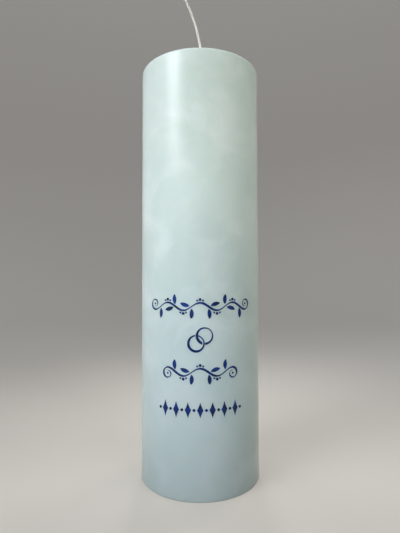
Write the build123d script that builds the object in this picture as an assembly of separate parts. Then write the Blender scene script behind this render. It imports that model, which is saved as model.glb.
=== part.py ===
"""Unity candle: a dipped wax pillar with a braided wick and cut-film ornament on its front.

Millimetres. +Z is up and the origin is the centre of the base. The decorated front faces -Y.
Each node is written to parts/NODE.step.
"""

import math
import os

from build123d import *

# Driving dimensions: the wax body
candle_diameter = 70.0
candle_height = 240.0
coat_thickness = 1.5  # hard wax skin over the sides and the top
top_edge_radius = 1.7  # rounding of the coat's outer top edge
least_edge_radius = 0.2  # what is left of that rounding on the core under a thick coat

# Driving dimensions: the wick and what holds it
wick_diameter = 1.5
bore_clearance = 0.05  # radial, between the wick and the wax round it
sustainer_diameter = 20.0
sustainer_sheet = 0.3  # tinplate thickness
neck_length = 6.0
neck_clearance = 0.05  # radial, between the sustainer's neck and the wax
crimp_length = 1.6  # the pinched stretch of the neck that grips the wick
recess_depth = 4.0
recess_clearance = 1.0  # radial, between the sustainer's disc and the recess
seal_shrink = 0.3  # how far the seal's rim stands back from the base
seal_dish = 0.5  # how much further its middle has sunk

# Driving dimensions: the film ornament, heights above the base
film_thickness = 0.15
film_gap = 0.3  # the least space between two pieces of film
pen_thin = 0.45  # narrowest stroke
pen_thick = 1.2  # widest stroke
pen_angle = 40.0  # degrees, the broad nib's angle to the horizontal
tip_share = 0.3  # share of its width that a stroke starts and ends with
taper_steps = 12  # steps over which a stroke swells from that to its full width
upper_garland_height = 101.2
rings_height = 83.8
lower_garland_height = 66.9
bead_band_height = 47.3

# Garlands: a wave with a scroll at each end
upper_half_waves = 3  # half waves from the middle to the scroll
lower_half_waves = 2
half_wave_length = 9.0
wave_height = 2.0
scroll_radius = 3.1
scroll_turns = 1.0
scroll_closing = 0.55  # share of its radius that the scroll loses on its way in
leaf_length = 5.3
leaf_width = 2.1
leaf_angle = 52.0  # degrees from the stem
half_wave_steps = 8  # steps of the outline in half a wave
scroll_steps = 14  # and in one turn of a scroll
span_steps = 4  # steps in one smooth span of the outline
berry_diameter = 1.5
side_berry_diameter = 1.0

# Linked rings
ring_outer_diameter = 9.2
ring_inner_diameter = 7.3
ring_inner_shift = 0.3  # the hole is off centre, so the band has a thick and a thin side
ring_offset = (2.25, 2.0)  # each ring's centre, sideways and up or down from the middle

# Bead band
lozenge_count = 7
lozenge_width = 3.4
lozenge_height = 8.4
lozenge_waist = 0.12  # share by which the middle of each side bows in
bead_pitch = 6.5
bead_dot_diameter = 1.5

# The wick's route above the candle's top: x, y and height above the top. It leans over to -X.
free_wick_route = [
    (0.0, 0.0, 2.0),
    (1.1, 0.3, 13.0),
    (-0.85, 0.8, 25.5),
    (-3.9, 1.1, 37.0),
    (-8.6, 0.9, 48.5),
    (-14.3, 0.3, 59.0),
]
run_share = 0.45  # share of the shorter run that a bend takes up

# Worked out from the above
radius = candle_diameter / 2
core_radius = radius - coat_thickness
core_height = candle_height - coat_thickness
core_edge_radius = max(top_edge_radius - coat_thickness, least_edge_radius)
wick_radius = wick_diameter / 2
bore_radius = wick_radius + bore_clearance
neck_radius = wick_radius + 2 * sustainer_sheet
recess_radius = sustainer_diameter / 2 + recess_clearance
sustainer_base = recess_depth - sustainer_sheet
neck_top = recess_depth + neck_length


def tube(outer, inner, bottom, top):
    """An upright tube round the candle's axis."""
    ring = Circle(outer) - Circle(inner)
    return Pos(0, 0, bottom) * extrude(ring, amount=top - bottom)


def rod(rod_radius, bottom, top):
    """An upright cylinder on the candle's axis."""
    return Pos(0, 0, bottom) * extrude(Circle(rod_radius), amount=top - bottom)


# ---------------------------------------------------------------- wax body


def make_core():
    """The burning core: wick bore, pocket for the sustainer's neck, and its recess in the base."""
    body = rod(core_radius, 0, core_height)
    body = fillet(body.edges().group_by(Axis.Z)[-1], core_edge_radius)
    body -= rod(bore_radius, 0, core_height)
    body -= rod(neck_radius + neck_clearance, 0, neck_top + neck_clearance)
    body -= rod(recess_radius, 0, recess_depth)
    return body


def make_coat():
    """The hard skin over the core's sides and top, open at the base and pierced by the wick."""
    body = rod(radius, 0, candle_height)
    body = fillet(body.edges().group_by(Axis.Z)[-1], top_edge_radius)
    filled = rod(core_radius, 0, core_height)
    body -= fillet(filled.edges().group_by(Axis.Z)[-1], core_edge_radius)
    body -= rod(bore_radius, core_height, candle_height)
    return body


def make_seal():
    """The wax plug under the sustainer, sunk a little in its middle where it shrank."""
    rim = (recess_radius, seal_shrink)
    profile = Polyline(rim, (recess_radius, sustainer_base), (0, sustainer_base), (0, seal_shrink + seal_dish))
    sag = ThreePointArc(
        (0, seal_shrink + seal_dish),
        (recess_radius / 2, seal_shrink + 0.75 * seal_dish),
        rim,
    )
    return revolve(Plane.XZ * make_face(profile + sag), Axis.Z)


# ---------------------------------------------------------------- wick


def make_sustainer():
    """A pressed tinplate disc whose neck is crimped on the wick half way up."""
    middle = recess_depth + neck_length / 2
    pinch = sustainer_sheet  # how far the crimp draws the neck in
    half = crimp_length / 2
    outside = [
        (sustainer_diameter / 2, sustainer_base),
        (sustainer_diameter / 2, recess_depth),
        (neck_radius, recess_depth),
        (neck_radius, middle - half - pinch),
        (neck_radius - pinch, middle - half),
        (neck_radius - pinch, middle + half),
        (neck_radius, middle + half + pinch),
        (neck_radius, neck_top),
    ]
    inside = [(x - sustainer_sheet, z) for x, z in reversed(outside[3:])]
    inside += [(inside[0][0], sustainer_base)]
    profile = Polyline(*outside, *inside, close=True)
    return revolve(Plane.XZ * make_face(profile), Axis.Z)


def wick_points():
    """The whole route: up the straight bore from the sustainer, then free above the top."""
    free = [(x, y, candle_height + above) for x, y, above in free_wick_route]
    return [Vector(0, 0, sustainer_base)] + [Vector(*point) for point in free]


def bend_radii(points):
    """The radius of each bend, as large as the runs on both sides of it allow."""
    radii = []
    for before, corner, after in zip(points, points[1:], points[2:]):
        run_in, run_out = corner - before, after - corner
        turn = math.radians(run_in.get_angle(run_out))
        radii.append(run_share * min(run_in.length, run_out.length) / math.tan(turn / 2))
    return radii


def make_wick():
    """The wick as one round rod along its route, cut square at both ends."""
    points = wick_points()
    radii = bend_radii(points)
    path = FilletPolyline(*points, radius=radii)
    print("wick bend radii (mm):", ", ".join(f"{bend:.1f}" for bend in radii))
    print(f"wick length {path.length:.1f} mm, {path.length - (candle_height - sustainer_base):.1f} mm of it free")
    section = Plane(origin=path @ 0, z_dir=path % 0) * Circle(wick_radius)
    body = sweep(section, path=path)
    expected = math.pi * wick_radius**2 * path.length
    print(f"wick volume {body.volume:.2f} mm3, section times length {expected:.2f} mm3")
    return body


# ---------------------------------------------------------------- film ornament


def film(flat):
    """The film piece whose outline, seen from the front, is the flat face: x across, y as height."""
    prism = extrude(Plane.XZ * flat, amount=radius + 2 * film_thickness)
    return prism & tube(radius + film_thickness, radius, 0, candle_height)


def film_at(flat, along, height):
    """A small piece of film drawn round the origin, laid on the side at an arc length from the front."""
    return Rot(0, 0, math.degrees(along / radius)) * film(Pos(0, height) * flat)


def pen_width(direction):
    """The width that a broad nib draws in a direction given in degrees."""
    return pen_thin + (pen_thick - pen_thin) * abs(math.sin(math.radians(direction - pen_angle)))


def wave_at(along):
    """The height of a garland's stem and its direction in degrees, at an arc length from the front."""
    phase = math.pi * along / half_wave_length
    slope = -wave_height * math.pi / half_wave_length * math.sin(phase)
    return wave_height * math.cos(phase), math.degrees(math.atan(slope))


def garland_line(half_waves):
    """The stem's centreline: a scroll, the wave and the mirrored scroll, as arc lengths and heights."""
    end = half_waves * half_wave_length
    end_height, _ = wave_at(end)
    side = -math.copysign(1, end_height)  # the scroll goes on turning the way the last bend does
    curl = []
    curl_steps = round(scroll_steps * scroll_turns)
    for step in range(1, curl_steps + 1):
        share = step / curl_steps
        angle = 2 * math.pi * scroll_turns * share
        reach = scroll_radius * (1 - scroll_closing * share)
        curl.append((end + reach * math.sin(angle), end_height + side * (scroll_radius - reach * math.cos(angle))))
    places = [half_wave_length * step / half_wave_steps for step in range(half_waves * half_wave_steps + 1)]
    wave = [(along, wave_at(along)[0]) for along in [-place for place in reversed(places[1:])] + places]
    return [(-along, up) for along, up in reversed(curl)] + wave + curl


def smooth_side(points):
    """A smooth curve through the points, in spans that share their direction where they meet."""
    last = len(points) - 1
    directions = [
        (Vector(*points[min(index + 1, last)]) - Vector(*points[max(index - 1, 0)])).normalized()
        for index in range(last + 1)
    ]
    spans = []
    for start in range(0, last, span_steps):
        end = min(start + span_steps, last)
        spans.append(Spline(*points[start : end + 1], tangents=(directions[start], directions[end])))
    return spans


def stem_face(line, height):
    """The flat face of a pen stroke along a line, tapering towards both ends."""
    upper, lower = [], []
    last = len(line) - 1
    for index, (along, up) in enumerate(line):
        before, after = line[max(index - 1, 0)], line[min(index + 1, last)]
        direction = math.atan2(after[1] - before[1], after[0] - before[0])
        taper = min(1.0, tip_share + (1 - tip_share) * min(index, last - index) / taper_steps)
        half = taper * pen_width(math.degrees(direction)) / 2
        across = (-math.sin(direction) * half, math.cos(direction) * half)
        upper.append((radius * math.sin((along + across[0]) / radius), height + up + across[1]))
        lower.append((radius * math.sin((along - across[0]) / radius), height + up - across[1]))
    ends = [Line(upper[-1], lower[-1]), Line(lower[0], upper[0])]
    return make_face(smooth_side(upper) + smooth_side(lower) + ends)


def leaf_face(direction):
    """A curved leaf from the origin to its tip, one side fuller than the other."""
    tip = (leaf_length, 0)
    full = ThreePointArc((0, 0), (leaf_length / 2, 0.62 * leaf_width), tip)
    flat = ThreePointArc(tip, (leaf_length / 2, -0.38 * leaf_width), (0, 0))
    return Rot(0, 0, direction) * make_face(full + flat)


def garland_leaves(half_waves, height):
    """A pair of leaves where the stem crosses its middle line, and one alone beside each scroll."""
    leaves = []
    foot = (pen_thick / 2 + film_gap) / math.sin(math.radians(leaf_angle))
    for index in range(half_waves):
        at = half_wave_length * (index + 0.5)
        up, slope = wave_at(at)
        outer = math.copysign(1, slope)
        for side in (outer,) if index == half_waves - 1 else (outer, -outer):
            direction = slope + side * leaf_angle
            along = at + foot * math.cos(math.radians(direction))
            rise = up + foot * math.sin(math.radians(direction))
            leaves.append(film_at(leaf_face(direction), along, height + rise))
            leaves.append(film_at(leaf_face(180 - direction), -along, height + rise))
    return leaves


def garland_berries(half_waves, height):
    """Three berries outside each bend of the stem, and one in the eye of each scroll."""
    berries = []
    out = wave_height + pen_thick / 2 + film_gap
    aside = (berry_diameter + side_berry_diameter) / 2 + film_gap
    for index in range(1 - half_waves, half_waves):
        along, side = index * half_wave_length, 1 - 2 * (index % 2)
        berries.append(film_at(Circle(berry_diameter / 2), along, height + side * (out + berry_diameter / 2)))
        for step in (-aside, aside):
            small = Circle(side_berry_diameter / 2)
            berries.append(film_at(small, along + step, height + side * (out + side_berry_diameter / 4)))
    end = half_waves * half_wave_length
    end_height, _ = wave_at(end)
    eye = height + end_height - math.copysign(scroll_radius, end_height)
    berries += [film_at(Circle(side_berry_diameter / 2), along, eye) for along in (-end, end)]
    return berries


def ring_face(side, cut_side):
    """One of two linked rings, opened where the other passes over it."""
    across, up = side * ring_offset[0], side * ring_offset[1]
    band = Pos(across, up) * Circle(ring_outer_diameter / 2)
    band -= Pos(across + ring_inner_shift, up + ring_inner_shift) * Circle(ring_inner_diameter / 2)
    other = Circle(ring_outer_diameter / 2 + film_gap) - Circle(ring_inner_diameter / 2 - film_gap)
    crossing = Pos(-side * ring_offset[0], -side * ring_offset[1]) * other
    half_plane = Rot(0, 0, math.degrees(math.atan2(ring_offset[1], ring_offset[0])))
    half_plane *= Pos(0, cut_side * candle_diameter / 2) * Rectangle(candle_diameter, candle_diameter)
    return Pos(0, rings_height) * (band - (crossing & half_plane))


def lozenge_face():
    """A tall lozenge with sides that bow in."""
    half_width, half_height = lozenge_width / 2, lozenge_height / 2
    tips = [(half_width, 0), (0, half_height), (-half_width, 0), (0, -half_height)]
    sides = Curve()
    for start, end in zip(tips, tips[1:] + tips[:1]):
        middle = ((start[0] + end[0]) / 2, (start[1] + end[1]) / 2)
        inward = 1 - lozenge_waist
        sides += ThreePointArc(start, (middle[0] * inward, middle[1] * inward), end)
    return make_face(sides)


def make_bead_band():
    """The row of lozenges with a dot on each side of every one."""
    first = -(lozenge_count - 1) / 2 * bead_pitch
    lozenges = [film_at(lozenge_face(), first + index * bead_pitch, bead_band_height) for index in range(lozenge_count)]
    dot = Circle(bead_dot_diameter / 2)
    dots = [
        film_at(dot, first + (index - 0.5) * bead_pitch, bead_band_height) for index in range(lozenge_count + 1)
    ]
    return lozenges, dots


# ---------------------------------------------------------------- output


def write(node, pieces):
    """Writes one node, as a single solid or as a group of separate solids."""
    solids = [solid for piece in pieces for solid in piece.solids()]
    shape = solids[0] if len(solids) == 1 else Compound(children=solids)
    shape.label = node
    export_step(shape, os.path.join("parts", node + ".step"))
    print(f"{node}: {len(solids)} solid(s)")


def main():
    """Builds every node."""
    os.makedirs("parts", exist_ok=True)
    write("wax_core", [make_core()])
    write("overdip_coat", [make_coat()])
    write("base_seal", [make_seal()])
    write("wick_sustainer", [make_sustainer()])
    write("wick", [make_wick()])

    for name, half_waves, height in (
        ("upper", upper_half_waves, upper_garland_height),
        ("lower", lower_half_waves, lower_garland_height),
    ):
        write(name + "_stem", [film(stem_face(garland_line(half_waves), height))])
        write(name + "_leaves", garland_leaves(half_waves, height))
        write(name + "_berries", garland_berries(half_waves, height))

    write("ring_left", [film(ring_face(-1, 1))])
    write("ring_right", [film(ring_face(1, -1))])
    lozenges, dots = make_bead_band()
    write("bead_lozenges", lozenges)
    write("bead_dots", dots)


main()
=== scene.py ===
"""Unity candle: its wax skin, braided wick and film ornament, in a plain soft studio.

Metres. +Z is up, the origin is the centre of the base and the decorated front faces -Y.
"""

import logging
import math
from dataclasses import dataclass, field
from enum import Enum
from typing import Any, Mapping, Sequence, Union

import bpy
from bpy.types import Material, Mesh, Node, NodeSocket, NodeTree, Object
from mathutils import Matrix, Vector


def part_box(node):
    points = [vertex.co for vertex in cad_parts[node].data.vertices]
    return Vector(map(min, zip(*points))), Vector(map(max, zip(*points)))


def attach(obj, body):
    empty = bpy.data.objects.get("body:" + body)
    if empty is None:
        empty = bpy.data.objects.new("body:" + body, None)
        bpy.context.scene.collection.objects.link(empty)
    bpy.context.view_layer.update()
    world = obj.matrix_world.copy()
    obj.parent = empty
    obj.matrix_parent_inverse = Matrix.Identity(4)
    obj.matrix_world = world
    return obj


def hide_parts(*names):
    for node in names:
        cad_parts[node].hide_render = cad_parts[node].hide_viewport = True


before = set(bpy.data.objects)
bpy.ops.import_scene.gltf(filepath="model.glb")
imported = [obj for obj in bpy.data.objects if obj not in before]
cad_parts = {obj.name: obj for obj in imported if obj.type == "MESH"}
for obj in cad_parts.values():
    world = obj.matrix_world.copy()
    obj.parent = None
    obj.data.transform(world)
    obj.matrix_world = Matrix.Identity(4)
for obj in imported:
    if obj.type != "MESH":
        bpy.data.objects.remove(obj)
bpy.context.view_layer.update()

LOG = logging.getLogger("unity_candle")
BODY = "root"  # nothing on a candle moves, so every piece rides on the one body
MM = 0.001  # a millimetre in metres
SHARP_ANGLE = math.radians(38)  # an edge that turns more than this stays crisp
SEAM_GAP = 0.001 * MM  # points closer than this are one point
MIX_SHARE, MIX_FROM, MIX_TO = 0, 6, 7  # a Mix node's inputs when it mixes colours
MIXED = 2  # the output that then holds the mixed colour

SocketValue = Union[NodeSocket, Node, float, int, bool, Sequence[float], Material]
Point = tuple[float, float, float]
Span = tuple[float, float]


class Slot(Enum):
    """Names for the material slots of the two pieces made here; nothing here gives them to the pieces.
    """

    COAT = "coat_wax"
    WICK = "wick_cotton"


# ------------------------------------------------------------------ helpers


def linear(colour: str) -> tuple[float, float, float, float]:
    """Turns an sRGB hex colour into the linear colour that a shader socket holds.

    Args:
        colour: Six hex digits after a hash sign.

    Returns:
        Red, green, blue and an alpha of one.
    """
    channels = [int(colour[place : place + 2], 16) / 255 for place in (1, 3, 5)]
    made = [c / 12.92 if c <= 0.04045 else ((c + 0.055) / 1.055) ** 2.4 for c in channels]
    return made[0], made[1], made[2], 1.0


def add_node(
    tree: NodeTree,
    kind: str,
    settings: Mapping[str, Any] | None = None,
    inputs: Mapping[str | int, SocketValue] | None = None,
) -> Node:
    """Adds a node to a shader or geometry tree, with its settings and its links.

    Args:
        tree: The tree that gets the node.
        kind: Blender's name for the kind of node.
        settings: The node's own properties.
        inputs: For each input's name or number, a value, the socket that feeds it, or a node whose
            first output feeds it.

    Returns:
        The new node.
    """
    node = tree.nodes.new(kind)
    for name, value in (settings or {}).items():
        setattr(node, name, value)
    for key, value in (inputs or {}).items():
        if isinstance(value, Node):
            value = value.outputs[0]
        if isinstance(value, NodeSocket):
            tree.links.new(value, node.inputs[key])
        else:
            node.inputs[key].default_value = value
    return node


def new_material(name: str) -> tuple[Material, NodeTree, Node]:
    """Makes an empty node material with a Principled shader on its output.

    Args:
        name: The material's name.

    Returns:
        The material, its tree and its Principled shader.
    """
    material = bpy.data.materials.new(name)
    material.use_nodes = True
    tree = material.node_tree
    tree.nodes.clear()
    shader = add_node(tree, "ShaderNodeBsdfPrincipled")
    add_node(tree, "ShaderNodeOutputMaterial", inputs={"Surface": shader})
    return material, tree, shader


def new_shape_tree(name: str, sizes: Mapping[str, str]) -> tuple[NodeTree, Node]:
    """Makes an empty geometry tree whose inputs are the source geometry and the named sizes.

    Args:
        name: The tree's name.
        sizes: For each named input, its socket type.

    Returns:
        The tree and its input node.
    """
    tree = bpy.data.node_groups.new(name, "GeometryNodeTree")
    tree.interface.new_socket("Geometry", in_out="INPUT", socket_type="NodeSocketGeometry")
    for size, socket_type in sizes.items():
        tree.interface.new_socket(size, in_out="INPUT", socket_type=socket_type)
    tree.interface.new_socket("Geometry", in_out="OUTPUT", socket_type="NodeSocketGeometry")
    return tree, add_node(tree, "NodeGroupInput")


def shaped(name: str, source: Object, tree: NodeTree, sizes: Mapping[str, Any]) -> Object:
    """Runs a geometry tree on a source object and keeps the result as a plain mesh.

    Args:
        name: The new piece's name.
        source: The object that the tree starts from. It is removed afterwards.
        tree: The geometry tree.
        sizes: A value for each of the tree's named inputs.

    Returns:
        The new piece, at the origin.
    """
    modifier = source.modifiers.new(tree.name, "NODES")
    modifier.node_group = tree
    for item in tree.interface.items_tree:
        if item.item_type == "SOCKET" and item.in_out == "INPUT" and item.name in sizes:
            modifier[item.identifier] = sizes[item.name]
    graph = bpy.context.evaluated_depsgraph_get()
    mesh = bpy.data.meshes.new_from_object(
        source.evaluated_get(graph), preserve_all_data_layers=True, depsgraph=graph
    )
    source.modifiers.remove(modifier)
    bpy.data.objects.remove(source)
    for index in reversed(range(len(mesh.materials))):  # the tree's own shapes bring an empty slot
        if mesh.materials[index] is None:
            mesh.materials.pop(index=index)
    mesh.shade_smooth()
    mesh.set_sharp_from_angle(angle=SHARP_ANGLE)
    return placed(name, mesh)


def placed(name: str, data: Mesh | bpy.types.Curve) -> Object:
    """Puts a mesh or curve in the scene, at the origin.

    Args:
        name: The object's name.
        data: Its mesh or curve.

    Returns:
        The new object.
    """
    data.name = name
    made = bpy.data.objects.new(name, data)
    bpy.context.scene.collection.objects.link(made)
    return made


def dress_node(name: str, material: Material) -> None:
    """Gives a kept CAD node its finish.

    Args:
        name: The node's name.
        material: Its finish.
    """
    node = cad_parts[name]
    if not node.material_slots:
        node.data.materials.append(material)
    for material_slot in node.material_slots:
        material_slot.material = material
    LOG.info("dressed %s with %s", name, material.name)


# ------------------------------------------------------------------ finishes


@dataclass(frozen=True)
class OverdipWax:
    """Hard paraffin and stearin skin, drawn from a hot bath and cooled in water.

    It is milky and smooth, glossy but not sharp. Where the stearin set first it left soft white
    wisps, and here and there a small crystal fleck.
    """

    body: str = "#deece6"
    wisp: str = "#e6f1ec"
    shade: str = "#d7e5df"
    fleck: str = "#ffffff"
    wisp_mm: float = 26.0
    wisp_edges: Span = (0.42, 0.72)
    shade_mm: float = 45.0
    shade_edges: Span = (0.35, 0.65)
    fleck_mm: float = 2.2
    fleck_edges: Span = (0.2, 0.05)
    fleck_strength: float = 0.5
    roughness: float = 0.23
    refraction: float = 1.44
    scatter_share: float = 0.5
    scatter_mm: float = 0.6
    scatter_colour: tuple[float, float, float] = (1.0, 0.95, 0.85)

    def build(self) -> Material:
        """Builds the material.

        Returns:
            The finish of the candle's skin.
        """
        material, tree, shader = new_material("overdip_wax")
        place = add_node(tree, "ShaderNodeTexCoord").outputs["Object"]
        wisps = add_node(
            tree,
            "ShaderNodeTexNoise",
            inputs={
                "Vector": place,
                "Scale": 1 / (self.wisp_mm * MM),
                "Detail": 4.0,
                "Roughness": 0.5,
                "Distortion": 0.5,
            },
        )
        wisp_share = add_node(
            tree,
            "ShaderNodeMapRange",
            {"interpolation_type": "SMOOTHSTEP"},
            {
                "Value": wisps.outputs["Fac"],
                "From Min": self.wisp_edges[0],
                "From Max": self.wisp_edges[1],
            },
        )
        shades = add_node(
            tree,
            "ShaderNodeTexNoise",
            {"noise_dimensions": "4D"},
            {"Vector": place, "W": 3.0, "Scale": 1 / (self.shade_mm * MM), "Detail": 2.0},
        )
        shade_share = add_node(
            tree,
            "ShaderNodeMapRange",
            {"interpolation_type": "SMOOTHSTEP"},
            {
                "Value": shades.outputs["Fac"],
                "From Min": self.shade_edges[0],
                "From Max": self.shade_edges[1],
            },
        )
        flecks = add_node(
            tree,
            "ShaderNodeTexVoronoi",
            inputs={"Vector": place, "Scale": 1 / (self.fleck_mm * MM), "Randomness": 1.0},
        )
        fleck_share = add_node(
            tree,
            "ShaderNodeMapRange",
            {"interpolation_type": "SMOOTHSTEP"},
            {
                "Value": flecks.outputs["Distance"],
                "From Min": self.fleck_edges[0],
                "From Max": self.fleck_edges[1],
                "To Max": self.fleck_strength,
            },
        )
        shaded = add_node(
            tree,
            "ShaderNodeMix",
            {"data_type": "RGBA"},
            {MIX_SHARE: shade_share, MIX_FROM: linear(self.body), MIX_TO: linear(self.shade)},
        )
        clouded = add_node(
            tree,
            "ShaderNodeMix",
            {"data_type": "RGBA"},
            {MIX_SHARE: wisp_share, MIX_FROM: shaded.outputs[MIXED], MIX_TO: linear(self.wisp)},
        )
        flecked = add_node(
            tree,
            "ShaderNodeMath",
            {"operation": "MULTIPLY"},
            {0: fleck_share, 1: wisp_share},
        )
        colour = add_node(
            tree,
            "ShaderNodeMix",
            {"data_type": "RGBA"},
            {MIX_SHARE: flecked, MIX_FROM: clouded.outputs[MIXED], MIX_TO: linear(self.fleck)},
        )
        shader.inputs["Roughness"].default_value = self.roughness
        shader.inputs["IOR"].default_value = self.refraction
        shader.inputs["Subsurface Weight"].default_value = self.scatter_share
        shader.inputs["Subsurface Radius"].default_value = self.scatter_colour
        shader.inputs["Subsurface Scale"].default_value = self.scatter_mm * MM
        tree.links.new(colour.outputs[MIXED], shader.inputs["Base Color"])
        return material


@dataclass(frozen=True)
class PressedWax:
    """Granulated wax pressed into a mould: matt, with the flattened beads just showing."""

    light: str = "#e6ebe4"
    # the dark colour is painted shade, laid in the dents between the beads
    dark: str = "#cdd5cc"
    bead_mm: float = 1.6
    bead_edges: Span = (0.1, 0.75)
    dent_mm: float = 0.15
    dent_strength: float = 0.4
    roughness: float = 0.55
    refraction: float = 1.44
    name: str = "pressed_wax"

    def build(self) -> Material:
        """Builds the material.

        Returns:
            The finish of the core and, smoother and with wider marks, of the poured seal.
        """
        material, tree, shader = new_material(self.name)
        place = add_node(tree, "ShaderNodeTexCoord").outputs["Object"]
        beads = add_node(
            tree, "ShaderNodeTexVoronoi", inputs={"Vector": place, "Scale": 1 / (self.bead_mm * MM)}
        )
        spread = add_node(
            tree,
            "ShaderNodeMapRange",
            inputs={
                "Value": beads.outputs["Distance"],
                "From Min": self.bead_edges[0],
                "From Max": self.bead_edges[1],
            },
        )
        # Painted shade: the colour darkens towards the dents between the beads, where the inverted bump
        # sinks them.
        colour = add_node(
            tree,
            "ShaderNodeMix",
            {"data_type": "RGBA"},
            {MIX_SHARE: spread, MIX_FROM: linear(self.light), MIX_TO: linear(self.dark)},
        )
        dents = add_node(
            tree,
            "ShaderNodeBump",
            {"invert": True},
            {"Strength": self.dent_strength, "Distance": self.dent_mm * MM, "Height": spread},
        )
        shader.inputs["IOR"].default_value = self.refraction
        shader.inputs["Roughness"].default_value = self.roughness
        tree.links.new(colour.outputs[MIXED], shader.inputs["Base Color"])
        tree.links.new(dents.outputs[0], shader.inputs["Normal"])
        return material


@dataclass(frozen=True)
class PrimedCotton:
    """Bleached cotton yarn braided and drawn through thin wax: off-white, dull, with fine threads."""

    thread: str = "#fdfaf4"
    # hollow_shade is painted shade, laid in the hollows between the threads
    hollow_shade: str = "#eee8dd"
    thread_mm: float = 0.35
    rib_mm: float = 0.06
    rib_strength: float = 0.6
    roughness: float = 0.6
    refraction: float = 1.45
    sheen: float = 0.2

    def build(self) -> Material:
        """Builds the material.

        Returns:
            The finish of the wick.
        """
        material, tree, shader = new_material("primed_cotton")
        along = add_node(tree, "ShaderNodeAttribute", {"attribute_name": "yarn_length"})
        side = add_node(tree, "ShaderNodeAttribute", {"attribute_name": "yarn_side"})
        phase = add_node(
            tree,
            "ShaderNodeMath",
            {"operation": "MULTIPLY_ADD"},
            {0: along.outputs["Fac"], 1: math.tau / (self.thread_mm * MM), 2: side.outputs["Fac"]},
        )
        ridge = add_node(tree, "ShaderNodeMath", {"operation": "SINE"}, {0: phase})
        share = add_node(
            tree, "ShaderNodeMapRange", inputs={"Value": ridge, "From Min": -1.0, "From Max": 1.0}
        )
        # Painted shade: the colour darkens into the hollows between the threads, where the bump sinks
        # them.
        colour = add_node(
            tree,
            "ShaderNodeMix",
            {"data_type": "RGBA"},
            {MIX_SHARE: share, MIX_FROM: linear(self.hollow_shade), MIX_TO: linear(self.thread)},
        )
        ribs = add_node(
            tree,
            "ShaderNodeBump",
            inputs={
                "Strength": self.rib_strength,
                "Distance": self.rib_mm * MM,
                "Height": share,
            },
        )
        shader.inputs["Roughness"].default_value = self.roughness
        shader.inputs["IOR"].default_value = self.refraction
        shader.inputs["Sheen Weight"].default_value = self.sheen
        tree.links.new(colour.outputs[MIXED], shader.inputs["Base Color"])
        tree.links.new(ribs.outputs[0], shader.inputs["Normal"])
        return material


@dataclass(frozen=True)
class Tinplate:
    """Cold-rolled steel sheet with a bright tin coat: fine rolling lines and a soft mirror."""

    colour: str = "#c9cac8"
    line_mm: float = 0.25
    line_stretch: float = 25.0
    roughness: Span = (0.18, 0.36)

    def build(self) -> Material:
        """Builds the material.

        Returns:
            The finish of the sustainer.
        """
        material, tree, shader = new_material("bright_tinplate")
        place = add_node(tree, "ShaderNodeTexCoord").outputs["Object"]
        drawn = add_node(
            tree,
            "ShaderNodeMapping",
            inputs={"Vector": place, "Scale": (1.0, 1 / self.line_stretch, 1.0)},
        )
        lines = add_node(
            tree,
            "ShaderNodeTexNoise",
            inputs={"Vector": drawn, "Scale": 1 / (self.line_mm * MM), "Detail": 2.0},
        )
        gloss = add_node(
            tree,
            "ShaderNodeMapRange",
            inputs={
                "Value": lines.outputs["Fac"],
                "To Min": self.roughness[0],
                "To Max": self.roughness[1],
            },
        )
        shader.inputs["Base Color"].default_value = linear(self.colour)
        shader.inputs["Metallic"].default_value = 1.0
        tree.links.new(gloss.outputs[0], shader.inputs["Roughness"])
        return material


@dataclass(frozen=True)
class DecoratingFilm:
    """Thin coloured wax film, calendered and then knife-cut: satin, dark blue, a little uneven."""

    deep: str = "#04192f"
    bright: str = "#043c8a"
    mottle_mm: float = 2.5
    mottle_edges: Span = (0.35, 0.65)
    grain_mm: float = 0.4
    grain_edges: Span = (0.3, 0.7)
    press_mm: float = 0.02
    press_strength: float = 0.25
    roughness: Span = (0.36, 0.50)
    refraction: float = 1.46

    def build(self) -> Material:
        """Builds the material.

        Returns:
            The finish of every film piece.
        """
        material, tree, shader = new_material("blue_decorating_film")
        place = add_node(tree, "ShaderNodeTexCoord").outputs["Object"]
        mottle = add_node(
            tree,
            "ShaderNodeTexNoise",
            inputs={"Vector": place, "Scale": 1 / (self.mottle_mm * MM), "Detail": 3.0},
        )
        grain = add_node(
            tree,
            "ShaderNodeTexNoise",
            inputs={"Vector": place, "Scale": 1 / (self.grain_mm * MM), "Detail": 2.0},
        )
        share = add_node(
            tree,
            "ShaderNodeMapRange",
            inputs={
                "Value": mottle.outputs["Fac"],
                "From Min": self.mottle_edges[0],
                "From Max": self.mottle_edges[1],
            },
        )
        colour = add_node(
            tree,
            "ShaderNodeMix",
            {"data_type": "RGBA"},
            {MIX_SHARE: share, MIX_FROM: linear(self.deep), MIX_TO: linear(self.bright)},
        )
        gloss = add_node(
            tree,
            "ShaderNodeMapRange",
            inputs={
                "Value": grain.outputs["Fac"],
                "From Min": self.grain_edges[0],
                "From Max": self.grain_edges[1],
                "To Min": self.roughness[0],
                "To Max": self.roughness[1],
            },
        )
        press = add_node(
            tree,
            "ShaderNodeBump",
            inputs={
                "Strength": self.press_strength,
                "Distance": self.press_mm * MM,
                "Height": grain.outputs["Fac"],
            },
        )
        shader.inputs["IOR"].default_value = self.refraction
        tree.links.new(colour.outputs[MIXED], shader.inputs["Base Color"])
        tree.links.new(gloss.outputs[0], shader.inputs["Roughness"])
        tree.links.new(press.outputs[0], shader.inputs["Normal"])
        return material


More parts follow.
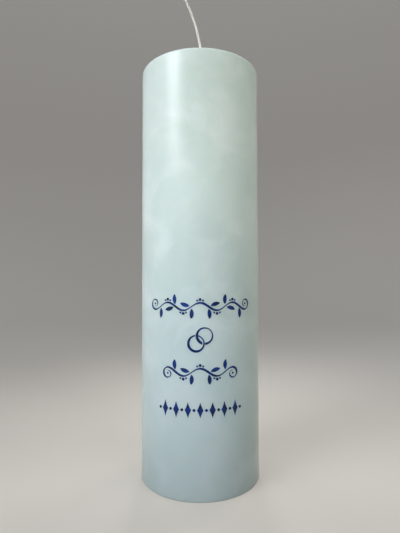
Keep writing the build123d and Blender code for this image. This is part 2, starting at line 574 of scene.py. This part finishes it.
@dataclass(frozen=True)
class StudioPaper:
    """Matt seamless paper: pale and even to the eye, and throwing little light back at the wax."""

    seen: str = "#d3ccc4"
    bounced: str = "#3a3634"
    glow: float = 0.30
    roughness: float = 0.9
    shine: float = 0.1

    def build(self) -> Material:
        """Builds the material.

        Returns:
            The finish of the floor and the backdrop.
        """
        material, tree, shader = new_material("seamless_paper")
        ray = add_node(tree, "ShaderNodeLightPath")
        seen = add_node(
            tree,
            "ShaderNodeMath",
            {"operation": "MAXIMUM"},
            {0: ray.outputs["Is Camera Ray"], 1: ray.outputs["Is Glossy Ray"]},
        )
        seen = add_node(
            tree,
            "ShaderNodeMath",
            {"operation": "MAXIMUM"},
            {0: seen, 1: ray.outputs["Is Transmission Ray"]},
        )
        colour = add_node(
            tree,
            "ShaderNodeMix",
            {"data_type": "RGBA"},
            {MIX_SHARE: seen, MIX_FROM: linear(self.bounced), MIX_TO: linear(self.seen)},
        )
        glow = add_node(tree, "ShaderNodeMath", {"operation": "MULTIPLY"}, {0: seen, 1: self.glow})
        shader.inputs["Roughness"].default_value = self.roughness
        shader.inputs["Specular IOR Level"].default_value = self.shine
        shader.inputs["Emission Color"].default_value = linear(self.seen)
        tree.links.new(colour.outputs[MIXED], shader.inputs["Base Color"])
        tree.links.new(glow.outputs[0], shader.inputs["Emission Strength"])
        return material


# ------------------------------------------------------------------ wax body


@dataclass
class WaxBody:
    """The pillar: the overdip skin as a turned shell, and the core and seal under it."""

    coat_thickness: float = 1.5 * MM
    edge_radius: float = 1.7 * MM
    base_edge_radius: float = 0.4 * MM
    bore_radius: float = 0.8 * MM
    grip_radius: float = 0.55 * MM
    top_dish: float = 0.35 * MM
    meniscus_height: float = 1.2 * MM
    meniscus_reach: float = 1.0 * MM
    ripple_depth: float = 0.12 * MM
    ripple_size: float = 30 * MM
    ripple_start: float = 1 * MM
    ripple_full: float = 12 * MM
    core_edge: float = 0.2 * MM
    core_gap: float = 0.05 * MM
    segments: int = 224
    foot_rows: int = 4
    side_rows: int = 118
    edge_rows: int = 8
    top_rows: int = 28
    top_row_growth: float = 1.6
    inner_rows: int = 24
    radius: float = field(init=False)
    height: float = field(init=False)

    def __post_init__(self) -> None:
        """Takes the coat's radius and height from the CAD coat."""
        low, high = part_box("overdip_coat")
        self.radius = (high.x - low.x) / 2
        self.height = high.z

    def top_height(self, reach: float) -> float:
        """The top face's height: a shallow dish that rises to the wick in a meniscus.

        Args:
            reach: Distance from the axis.

        Returns:
            The height above the base.
        """
        flat_radius = self.radius - self.edge_radius
        dish = self.top_dish * (1 - (reach / flat_radius) ** 2) ** 2
        rise = self.meniscus_height * math.exp((self.grip_radius - reach) / self.meniscus_reach)
        return self.height - dish + rise

    def outer_outline(self) -> list[Span]:
        """The coat's outer face: the base edge, the side, the rounded top edge and the top.

        Returns:
            Distance from the axis and height, from the outer base edge to the wick.
        """
        foot = self.base_edge_radius
        shoulder = self.height - self.edge_radius
        points = []
        for row in range(self.foot_rows):
            angle = math.pi / 2 * row / self.foot_rows
            reach = self.radius - foot * (1 - math.sin(angle))
            points.append((reach, foot * (1 - math.cos(angle))))
        for row in range(self.side_rows):
            points.append((self.radius, foot + (shoulder - foot) * row / self.side_rows))
        for row in range(self.edge_rows):
            angle = math.pi / 2 * row / self.edge_rows
            reach = self.radius - self.edge_radius * (1 - math.cos(angle))
            points.append((reach, shoulder + self.edge_radius * math.sin(angle)))
        span = self.radius - self.edge_radius - self.grip_radius
        for row in range(self.top_rows + 1):
            reach = self.grip_radius + span * (1 - row / self.top_rows) ** self.top_row_growth
            points.append((reach, self.top_height(reach)))
        return points

    def inner_outline(self) -> list[Span]:
        """The coat's inner face, a hair clear of the core.

        Returns:
            Distance from the axis and height, from the bore to the inner base edge.
        """
        core_radius = self.radius - self.coat_thickness + self.core_gap
        core_height = self.height - self.coat_thickness + self.core_gap
        side = core_height - self.core_edge
        points = [(self.bore_radius, core_height), (core_radius - self.core_edge, core_height)]
        for row in range(self.inner_rows + 1):
            points.append((core_radius, side * (1 - row / self.inner_rows)))
        return points

    def turning_tree(self) -> NodeTree:
        """Builds the tree that turns a section round the Z axis and gives it a dipped unevenness.

        Returns:
            The tree, with the number of segments, the ripples' sizes and the finish as inputs.
        """
        tree, given = new_shape_tree(
            "turned_and_dipped",
            {
                "Rows": "NodeSocketInt",
                "Outer Rows": "NodeSocketInt",
                "Segments": "NodeSocketInt",
                "Ripple Depth": "NodeSocketFloat",
                "Ripple Size": "NodeSocketFloat",
                "Ripple Start": "NodeSocketFloat",
                "Ripple Full": "NodeSocketFloat",
                "Finish": "NodeSocketMaterial",
            },
        )
        rows = given.outputs["Rows"]
        row_lines = add_node(tree, "ShaderNodeMath", {"operation": "ADD"}, {0: rows, 1: 1.0})
        columns = add_node(
            tree, "ShaderNodeMath", {"operation": "ADD"}, {0: given.outputs["Segments"], 1: 1.0}
        )
        grid = add_node(
            tree,
            "GeometryNodeMeshGrid",
            inputs={"Size X": 1.0, "Size Y": 1.0, "Vertices X": columns, "Vertices Y": row_lines},
        )
        index = add_node(tree, "GeometryNodeInputIndex")
        column = add_node(tree, "ShaderNodeMath", {"operation": "DIVIDE"}, {0: index, 1: row_lines})
        column = add_node(tree, "ShaderNodeMath", {"operation": "FLOOR"}, {0: column})
        row = add_node(tree, "ShaderNodeMath", {"operation": "MODULO"}, {0: index, 1: row_lines})
        row = add_node(tree, "ShaderNodeMath", {"operation": "MODULO"}, {0: row, 1: rows})
        section = add_node(
            tree,
            "GeometryNodeSampleIndex",
            {"data_type": "FLOAT_VECTOR", "domain": "POINT"},
            {
                "Geometry": given.outputs["Geometry"],
                "Value": add_node(tree, "GeometryNodeInputPosition"),
                "Index": row,
            },
        )
        angle = add_node(
            tree, "ShaderNodeMath", {"operation": "MULTIPLY"}, {0: column, 1: math.tau}
        )
        angle = add_node(
            tree, "ShaderNodeMath", {"operation": "DIVIDE"}, {0: angle, 1: given.outputs["Segments"]}
        )
        turned = add_node(
            tree,
            "ShaderNodeVectorRotate",
            {"rotation_type": "Z_AXIS"},
            {"Vector": section, "Angle": angle},
        )
        placed_grid = add_node(
            tree,
            "GeometryNodeSetPosition",
            inputs={"Geometry": grid.outputs["Mesh"], "Position": turned},
        )
        outer = add_node(
            tree, "ShaderNodeMath", {"operation": "LESS_THAN"}, {0: row, 1: given.outputs["Outer Rows"]}
        )
        marked = add_node(
            tree,
            "GeometryNodeStoreNamedAttribute",
            {"data_type": "FLOAT", "domain": "POINT"},
            {"Geometry": placed_grid, "Name": "outer_wall", "Value": outer},
        )
        closed = add_node(
            tree,
            "GeometryNodeMergeByDistance",
            inputs={"Geometry": marked, "Distance": SEAM_GAP},
        )
        place = add_node(tree, "GeometryNodeInputPosition")
        scale = add_node(
            tree, "ShaderNodeMath", {"operation": "DIVIDE"}, {0: 1.0, 1: given.outputs["Ripple Size"]}
        )
        noise = add_node(
            tree,
            "ShaderNodeTexNoise",
            {"noise_dimensions": "4D"},
            {"Vector": place, "W": 7.0, "Scale": scale, "Detail": 0.0},
        )
        height = add_node(tree, "ShaderNodeSeparateXYZ", inputs={0: place})
        above_base = add_node(
            tree,
            "ShaderNodeMapRange",
            {"interpolation_type": "SMOOTHSTEP"},
            {
                "Value": height.outputs["Z"],
                "From Min": given.outputs["Ripple Start"],
                "From Max": given.outputs["Ripple Full"],
                "To Max": -1.0,
            },
        )
        push = add_node(
            tree,
            "ShaderNodeMath",
            {"operation": "MULTIPLY"},
            {0: noise.outputs["Fac"], 1: above_base},
        )
        on_outside = add_node(
            tree,
            "GeometryNodeInputNamedAttribute",
            {"data_type": "FLOAT"},
            {"Name": "outer_wall"},
        )
        push = add_node(tree, "ShaderNodeMath", {"operation": "MULTIPLY"}, {0: push, 1: on_outside})
        push = add_node(
            tree,
            "ShaderNodeMath",
            {"operation": "MULTIPLY"},
            {0: push, 1: given.outputs["Ripple Depth"]},
        )
        offset = add_node(
            tree,
            "ShaderNodeVectorMath",
            {"operation": "SCALE"},
            {"Vector": add_node(tree, "GeometryNodeInputNormal"), "Scale": push},
        )
        rippled = add_node(
            tree, "GeometryNodeSetPosition", inputs={"Geometry": closed, "Offset": offset}
        )
        real = add_node(tree, "GeometryNodeRealizeInstances", inputs={"Geometry": rippled})
        finished = add_node(
            tree,
            "GeometryNodeSetMaterial",
            inputs={"Geometry": real, "Material": given.outputs["Finish"]},
        )
        add_node(tree, "NodeGroupOutput", inputs={"Geometry": finished})
        return tree

    def build_coat(self, finish: Material) -> Object:
        """Makes the skin that stands for the CAD coat.

        Args:
            finish: Its material.

        Returns:
            The coat's mesh.
        """
        outer = self.outer_outline()
        points = outer + self.inner_outline()
        mesh = bpy.data.meshes.new("coat_section")
        edges = [(index, index + 1) for index in range(len(points) - 1)]
        mesh.from_pydata([(reach, 0.0, up) for reach, up in points], edges, [])
        return shaped(
            "overdip_skin",
            placed("coat_section", mesh),
            self.turning_tree(),
            {
                "Rows": len(points),
                "Outer Rows": len(outer),
                "Segments": self.segments,
                "Ripple Depth": self.ripple_depth,
                "Ripple Size": self.ripple_size,
                "Ripple Start": self.ripple_start,
                "Ripple Full": self.ripple_full,
                "Finish": finish,
            },
        )

    def build(self) -> None:
        """Makes the coat and dresses the core and the seal."""
        coat = self.build_coat(OverdipWax().build())
        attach(coat, BODY)
        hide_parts("overdip_coat")
        LOG.info("made %s: %d faces", coat.name, len(coat.data.polygons))
        dress_node("wax_core", PressedWax().build())
        poured = PressedWax(bead_mm=6.0, roughness=0.35, name="poured_wax")
        dress_node("base_seal", poured.build())


# ------------------------------------------------------------------ wick


@dataclass
class Wick:
    """The braided wick, from the sustainer's neck through the bore to its free, leaning tip."""

    diameter: float = 1.5 * MM
    length: float = 0.298
    bore_start: Point = (0.0, 0.0, 0.0037)
    bore_end: Point = (0.0, 0.0, 0.2309)
    free_route: tuple[Point, ...] = (
        (0.0, 0.0, 0.2420),
        (0.0014, 0.0003, 0.2530),
        (-0.0005, 0.0008, 0.2655),
        (-0.0034, 0.0011, 0.2770),
        (-0.0079, 0.0009, 0.2885),
        (-0.0136, 0.0003, 0.2990),
    )
    strands: int = 3
    strand_radius: float = 0.36 * MM
    braid_pitch: float = 3.6 * MM
    braid_width: float = 0.38 * MM
    braid_depth: float = 0.2 * MM
    steps_per_pitch: int = 14
    strand_sides: int = 8
    route_order: int = 3
    route_steps: int = 24

    def route(self) -> list[Vector]:
        """Lays the wick's smooth line.

        Returns:
            Points along the NURBS line, from the sustainer to the tip.
        """
        points = [self.bore_start, self.bore_end, *self.free_route]
        curve = bpy.data.curves.new("wick_route", "CURVE")
        curve.dimensions = "3D"
        spline = curve.splines.new("NURBS")
        spline.points.add(len(points) - 1)
        for point, place in zip(spline.points, points):
            point.co = (*place, 1.0)
        spline.order_u = self.route_order
        spline.use_endpoint_u = True
        spline.resolution_u = self.route_steps
        line = placed("wick_route", curve)
        graph = bpy.context.evaluated_depsgraph_get()
        mesh = bpy.data.meshes.new_from_object(line.evaluated_get(graph), depsgraph=graph)
        made = [vertex.co.copy() for vertex in mesh.vertices]
        bpy.data.objects.remove(line)
        bpy.data.meshes.remove(mesh)
        return made

    def braiding_tree(self) -> NodeTree:
        """Builds the tree that lays braided strands along a line.

        Returns:
            The tree, with the strands' and the braid's sizes and the finish as inputs.
        """
        tree, given = new_shape_tree(
            "braided_strands",
            {
                "Strands": "NodeSocketInt",
                "Strand Radius": "NodeSocketFloat",
                "Strand Sides": "NodeSocketInt",
                "Pitch": "NodeSocketFloat",
                "Width": "NodeSocketFloat",
                "Depth": "NodeSocketFloat",
                "Step": "NodeSocketFloat",
                "Finish": "NodeSocketMaterial",
            },
        )
        size = given.outputs
        line = add_node(tree, "GeometryNodeMeshToCurve", inputs={"Mesh": size["Geometry"]})
        line = add_node(
            tree,
            "GeometryNodeResampleCurve",
            {"mode": "LENGTH"},
            {"Curve": line, "Length": size["Step"]},
        )
        copies = add_node(
            tree,
            "GeometryNodeDuplicateElements",
            {"domain": "SPLINE"},
            {"Geometry": line, "Amount": size["Strands"]},
        )
        along = add_node(tree, "GeometryNodeSplineParameter").outputs["Length"]
        turns = add_node(tree, "ShaderNodeMath", {"operation": "DIVIDE"}, {0: along, 1: size["Pitch"]})
        strand = add_node(
            tree,
            "ShaderNodeMath",
            {"operation": "DIVIDE"},
            {0: copies.outputs["Duplicate Index"], 1: size["Strands"]},
        )
        phase = add_node(tree, "ShaderNodeMath", {"operation": "ADD"}, {0: turns, 1: strand})
        phase = add_node(tree, "ShaderNodeMath", {"operation": "MULTIPLY"}, {0: phase, 1: math.tau})
        twice = add_node(tree, "ShaderNodeMath", {"operation": "MULTIPLY"}, {0: phase, 1: 2.0})
        sideways = add_node(tree, "ShaderNodeMath", {"operation": "SINE"}, {0: phase})
        sideways = add_node(
            tree, "ShaderNodeMath", {"operation": "MULTIPLY"}, {0: sideways, 1: size["Width"]}
        )
        forwards = add_node(tree, "ShaderNodeMath", {"operation": "SINE"}, {0: twice})
        forwards = add_node(
            tree, "ShaderNodeMath", {"operation": "MULTIPLY"}, {0: forwards, 1: size["Depth"]}
        )
        normal = add_node(tree, "GeometryNodeInputNormal")
        binormal = add_node(
            tree,
            "ShaderNodeVectorMath",
            {"operation": "CROSS_PRODUCT"},
            {0: add_node(tree, "GeometryNodeInputTangent"), 1: normal},
        )
        across = add_node(
            tree, "ShaderNodeVectorMath", {"operation": "SCALE"}, {0: normal, "Scale": sideways}
        )
        outwards = add_node(
            tree, "ShaderNodeVectorMath", {"operation": "SCALE"}, {0: binormal, "Scale": forwards}
        )
        offset = add_node(
            tree, "ShaderNodeVectorMath", {"operation": "ADD"}, {0: across, 1: outwards}
        )
        laid = add_node(
            tree,
            "GeometryNodeSetPosition",
            inputs={"Geometry": copies.outputs["Geometry"], "Offset": offset},
        )
        laid = add_node(
            tree,
            "GeometryNodeStoreNamedAttribute",
            {"data_type": "FLOAT", "domain": "POINT"},
            {"Geometry": laid, "Name": "yarn_length", "Value": along},
        )
        ring = add_node(
            tree,
            "GeometryNodeCurvePrimitiveCircle",
            {"mode": "RADIUS"},
            {"Resolution": size["Strand Sides"], "Radius": size["Strand Radius"]},
        )
        ring_place = add_node(
            tree, "ShaderNodeSeparateXYZ", inputs={0: add_node(tree, "GeometryNodeInputPosition")}
        )
        ring_side = add_node(
            tree,
            "ShaderNodeMath",
            {"operation": "DIVIDE"},
            {0: ring_place.outputs["X"], 1: size["Strand Radius"]},
        )
        ring = add_node(
            tree,
            "GeometryNodeStoreNamedAttribute",
            {"data_type": "FLOAT", "domain": "POINT"},
            {"Geometry": ring.outputs["Curve"], "Name": "yarn_side", "Value": ring_side},
        )
        yarn = add_node(
            tree,
            "GeometryNodeCurveToMesh",
            inputs={"Curve": laid, "Profile Curve": ring, "Fill Caps": True},
        )
        real = add_node(tree, "GeometryNodeRealizeInstances", inputs={"Geometry": yarn})
        finished = add_node(
            tree,
            "GeometryNodeSetMaterial",
            inputs={"Geometry": real, "Material": size["Finish"]},
        )
        add_node(tree, "NodeGroupOutput", inputs={"Geometry": finished})
        return tree

    def build(self) -> None:
        route = self.route()
        mesh = bpy.data.meshes.new("wick_line")
        mesh.from_pydata(route, [(index, index + 1) for index in range(len(route) - 1)], [])
        braid = shaped(
            "braided_wick",
            placed("wick_line", mesh),
            self.braiding_tree(),
            {
                "Strands": self.strands,
                "Strand Radius": self.strand_radius,
                "Strand Sides": self.strand_sides,
                "Pitch": self.braid_pitch,
                "Width": self.braid_width,
                "Depth": self.braid_depth,
                "Step": self.braid_pitch / self.steps_per_pitch,
                "Finish": PrimedCotton().build(),
            },
        )
        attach(braid, BODY)
        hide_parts("wick")
        LOG.info("made %s: %d faces", braid.name, len(braid.data.polygons))
        dress_node("wick_sustainer", Tinplate().build())


# ------------------------------------------------------------------ ornament


@dataclass
class FilmOrnament:
    """The cut film on the front: two garlands, the linked rings between them and the bead band."""

    pieces: tuple[str, ...] = (
        "upper_stem",
        "upper_leaves",
        "upper_berries",
        "ring_left",
        "ring_right",
        "lower_stem",
        "lower_leaves",
        "lower_berries",
        "bead_lozenges",
        "bead_dots",
    )

    def build(self) -> None:
        """Dresses every film piece."""
        film = DecoratingFilm().build()
        for piece in self.pieces:
            dress_node(piece, film)


# ------------------------------------------------------------------ studio


@dataclass
class SoftBox:
    """One soft rectangular lamp."""

    name: str
    place: Point
    aim_height: float
    width: float
    height: float
    watts: float
    colour: str
    spread: float = 180.0
    mirrored: bool = False

    def build(self) -> None:
        """Hangs the lamp and points it at its height on the candle's axis."""
        lamp = bpy.data.lights.new(self.name, "AREA")
        lamp.shape = "RECTANGLE"
        lamp.size = self.width
        lamp.size_y = self.height
        lamp.energy = self.watts
        lamp.spread = math.radians(self.spread)
        lamp.color = linear(self.colour)[:3]
        held = bpy.data.objects.new(self.name, lamp)
        held.location = self.place
        held.visible_glossy = self.mirrored
        towards = Vector((0.0, 0.0, self.aim_height)) - Vector(self.place)
        held.rotation_euler = towards.to_track_quat("-Z", "Y").to_euler()
        bpy.context.scene.collection.objects.link(held)


@dataclass
class Studio:
    """A paper cove, soft lamps, a weak even fill, and the camera."""

    cove_radius: float = 1.6
    cove_bend: float = 0.7
    cove_height: float = 1.8
    cove_sides: int = 96
    cove_floor_rows: int = 6
    cove_bend_rows: int = 16
    cove_drop: float = 0.02 * MM
    fill_colour: str = "#dcecfa"
    fill_strength: float = 0.45
    lens: float = 27.68
    sensor: float = 36.0
    near_limit: float = 0.01
    camera_place: Point = (0.0, -0.2502, 0.1155)
    camera_tilt: float = 1.781
    camera_roll: float = -0.10
    lamps: tuple[SoftBox, ...] = (
        SoftBox(
            "window_light",
            place=(-0.39, -0.32, 0.47),
            aim_height=0.172,
            width=0.38,
            height=0.31,
            watts=0.168,
            colour="#f6fbff",
            spread=38.0,
            mirrored=True,
        ),
        SoftBox(
            "left_fill",
            place=(-0.57, -0.22, 0.26),
            aim_height=0.16,
            width=0.30,
            height=0.30,
            watts=0.112,
            colour="#f3f6fb",
            spread=40.0,
        ),
        SoftBox(
            "front_fill",
            place=(-0.35, -0.65, 0.30),
            aim_height=0.19,
            width=0.40,
            height=0.30,
            watts=0.130,
            colour="#fbfcfc",
            spread=38.0,
        ),
        SoftBox(
            "low_sky",
            place=(-0.15, -0.66, 0.05),
            aim_height=0.055,
            width=0.15,
            height=0.12,
            watts=0.010,
            colour="#5aa5ff",
            spread=22.0,
        ),
        SoftBox(
            "right_fill",
            place=(0.65, -0.25, 0.45),
            aim_height=0.21,
            width=0.40,
            height=0.40,
            watts=0.120,
            colour="#fffdee",
            spread=38.0,
        ),
        SoftBox(
            "front_right",
            place=(0.45, -0.55, 0.45),
            aim_height=0.21,
            width=0.40,
            height=0.40,
            watts=0.120,
            colour="#fcfff8",
            spread=36.0,
        ),
        SoftBox(
            "back_right",
            place=(0.50, 0.55, 0.45),
            aim_height=0.17,
            width=0.40,
            height=0.40,
            watts=0.160,
            colour="#fffdf8",
            spread=45.0,
        ),
        SoftBox(
            "back_left",
            place=(-0.50, 0.50, 0.45),
            aim_height=0.17,
            width=0.40,
            height=0.40,
            watts=0.100,
            colour="#ffffff",
            spread=45.0,
        ),
        SoftBox(
            "back_light",
            place=(0.00, 0.70, 0.50),
            aim_height=0.17,
            width=0.20,
            height=0.34,
            watts=0.120,
            colour="#ffffff",
            spread=45.0,
            mirrored=True,
        ),
    )

    def build_cove(self) -> None:
        """Makes the floor, which turns up all round into the backdrop."""
        flat = self.cove_radius - self.cove_bend
        section = []
        for row in range(1, self.cove_floor_rows + 1):
            section.append((flat * row / self.cove_floor_rows, -self.cove_drop))
        for row in range(1, self.cove_bend_rows + 1):
            angle = math.pi / 2 * row / self.cove_bend_rows
            reach = flat + self.cove_bend * math.sin(angle)
            section.append((reach, self.cove_bend * (1 - math.cos(angle))))
        section.append((self.cove_radius, self.cove_height))
        points: list[Point] = [(0.0, 0.0, -self.cove_drop)]
        faces: list[tuple[int, ...]] = []
        for reach, up in section:
            for side in range(self.cove_sides):
                angle = math.tau * side / self.cove_sides
                points.append((reach * math.cos(angle), reach * math.sin(angle), up))
        for side in range(self.cove_sides):
            nxt = (side + 1) % self.cove_sides
            faces.append((0, 1 + side, 1 + nxt))
            for row in range(len(section) - 1):
                low = 1 + row * self.cove_sides
                high = low + self.cove_sides
                faces.append((low + side, high + side, high + nxt, low + nxt))
        mesh = bpy.data.meshes.new("paper_cove")
        mesh.from_pydata(points, [], faces)
        mesh.shade_smooth()
        cove = placed("paper_cove", mesh)
        cove.data.materials.append(StudioPaper().build())

    def build_fill(self) -> None:
        """Sets the world to an even light."""
        world = bpy.data.worlds.new("even_fill")
        world.use_nodes = True
        tree = world.node_tree
        tree.nodes.clear()
        light = add_node(
            tree,
            "ShaderNodeBackground",
            inputs={"Color": linear(self.fill_colour), "Strength": self.fill_strength},
        )
        add_node(tree, "ShaderNodeOutputWorld", inputs={"Surface": light})
        bpy.context.scene.world = world

    def build_camera(self) -> None:
        """Sets up the camera."""
        lens = bpy.data.cameras.new("camera")
        lens.lens = self.lens
        lens.sensor_width = self.sensor
        lens.clip_start = self.near_limit
        camera = bpy.data.objects.new("camera", lens)
        tilt = Matrix.Rotation(math.radians(90 + self.camera_tilt), 3, "X")
        roll = Matrix.Rotation(math.radians(self.camera_roll), 3, "Z")
        camera.location = self.camera_place
        camera.rotation_euler = (tilt @ roll).to_euler()
        bpy.context.scene.collection.objects.link(camera)
        bpy.context.scene.camera = camera

    def build(self) -> None:
        """Builds the studio."""
        self.build_cove()
        self.build_fill()
        self.build_camera()
        for lamp in self.lamps:
            lamp.build()
        bpy.context.scene.view_settings.view_transform = "Standard"


# ------------------------------------------------------------------ the whole


def main() -> None:
    """Builds the studio and every sub-assembly of the candle."""
    logging.basicConfig(level=logging.INFO, format="%(name)s: %(message)s")
    Studio().build()
    Wick().build()
    WaxBody().build()
    FilmOrnament().build()


if __name__ == "__main__":
    main()
